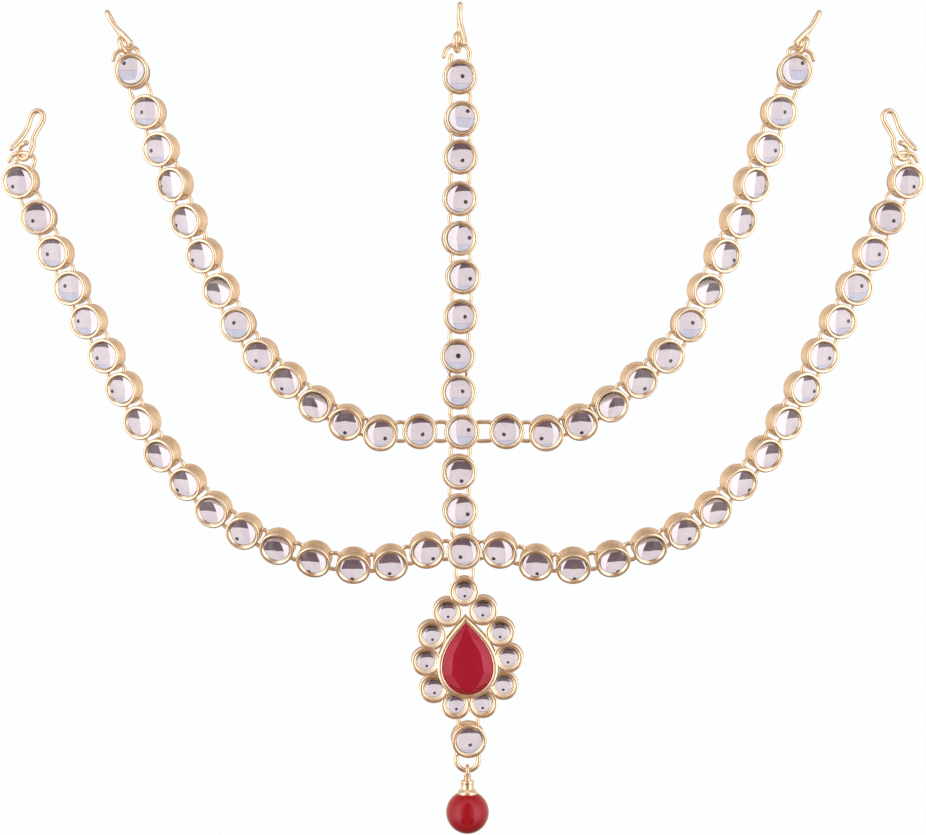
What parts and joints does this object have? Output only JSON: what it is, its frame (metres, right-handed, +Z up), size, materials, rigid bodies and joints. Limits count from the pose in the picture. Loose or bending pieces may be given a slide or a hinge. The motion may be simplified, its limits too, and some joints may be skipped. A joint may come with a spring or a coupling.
{
  "type": "matha patti",
  "caption": "Head jewel: a crown strand and two swags of round stone cups on wire links, with hooks at the free ends and a pear pendant that swings and carries a bead drop.",
  "frame": {"origin": "the seat inside the top of the crown hook's bend, where it hangs from the hair", "axes": "+Z up along the crown strand, +X to the right as seen from the front, +Y to the back. The stones face -Y."},
  "size_m": [0.222, 0.0105, 0.1996],
  "materials": {
    "gold_plate": "polished, lightly worn gold plating",
    "pear_resin": "glossy facets",
    "red_bead_glass": "opaque, glossy"
  },
  "bodies": {
    "net": {"crown_cup_1": "gold_plate", "crown_cup_2": "gold_plate", "crown_cup_3": "gold_plate", "crown_cup_4": "gold_plate", "crown_cup_5": "gold_plate", "crown_cup_6": "gold_plate", "crown_cup_7": "gold_plate", "crown_cup_8": "gold_plate", "crown_cup_9": "gold_plate", "crown_hook": "gold_plate", "crown_hook_ring": "gold_plate", "junction_cup_lower": "gold_plate", "junction_cup_upper": "gold_plate", "lower_left_1": "gold_plate", "lower_left_2": "gold_plate", "lower_left_3": "gold_plate", "lower_left_4": "gold_plate", "lower_left_5": "gold_plate", "lower_left_6": "gold_plate", "lower_left_hook": "gold_plate", "lower_left_hook_ring": "gold_plate", "lower_right_1": "gold_plate", "lower_right_2": "gold_plate", "lower_right_3": "gold_plate", "lower_right_4": "gold_plate", "lower_right_5": "gold_plate", "lower_right_6": "gold_plate", "lower_right_hook": "gold_plate", "lower_right_hook_ring": "gold_plate", "mid_cup_1": "gold_plate", "mid_cup_2": "gold_plate", "upper_left_1": "gold_plate", "upper_left_2": "gold_plate", "upper_left_3": "gold_plate", "upper_left_4": "gold_plate", "upper_left_5": "gold_plate", "upper_left_hook": "gold_plate", "upper_left_hook_ring": "gold_plate", "upper_right_1": "gold_plate", "upper_right_2": "gold_plate", "upper_right_3": "gold_plate", "upper_right_4": "gold_plate", "upper_right_5": "gold_plate", "upper_right_hook": "gold_plate", "upper_right_hook_ring": "gold_plate"},
    "pendant": {"pendant_frame": "gold_plate", "pear_stone": "pear_resin", "drop_cup": "gold_plate", "drop_ring": "gold_plate", "bead_cap": "gold_plate", "red_bead": "red_bead_glass"}
  },
  "joints": [
    {"name": "pendant_swing", "type": "hinge", "parent": "net", "child": "pendant", "pos_m": [0.001, 0, -0.13885], "axis": [1, 0, 0], "range_deg": [-25, 80]}
  ]
}
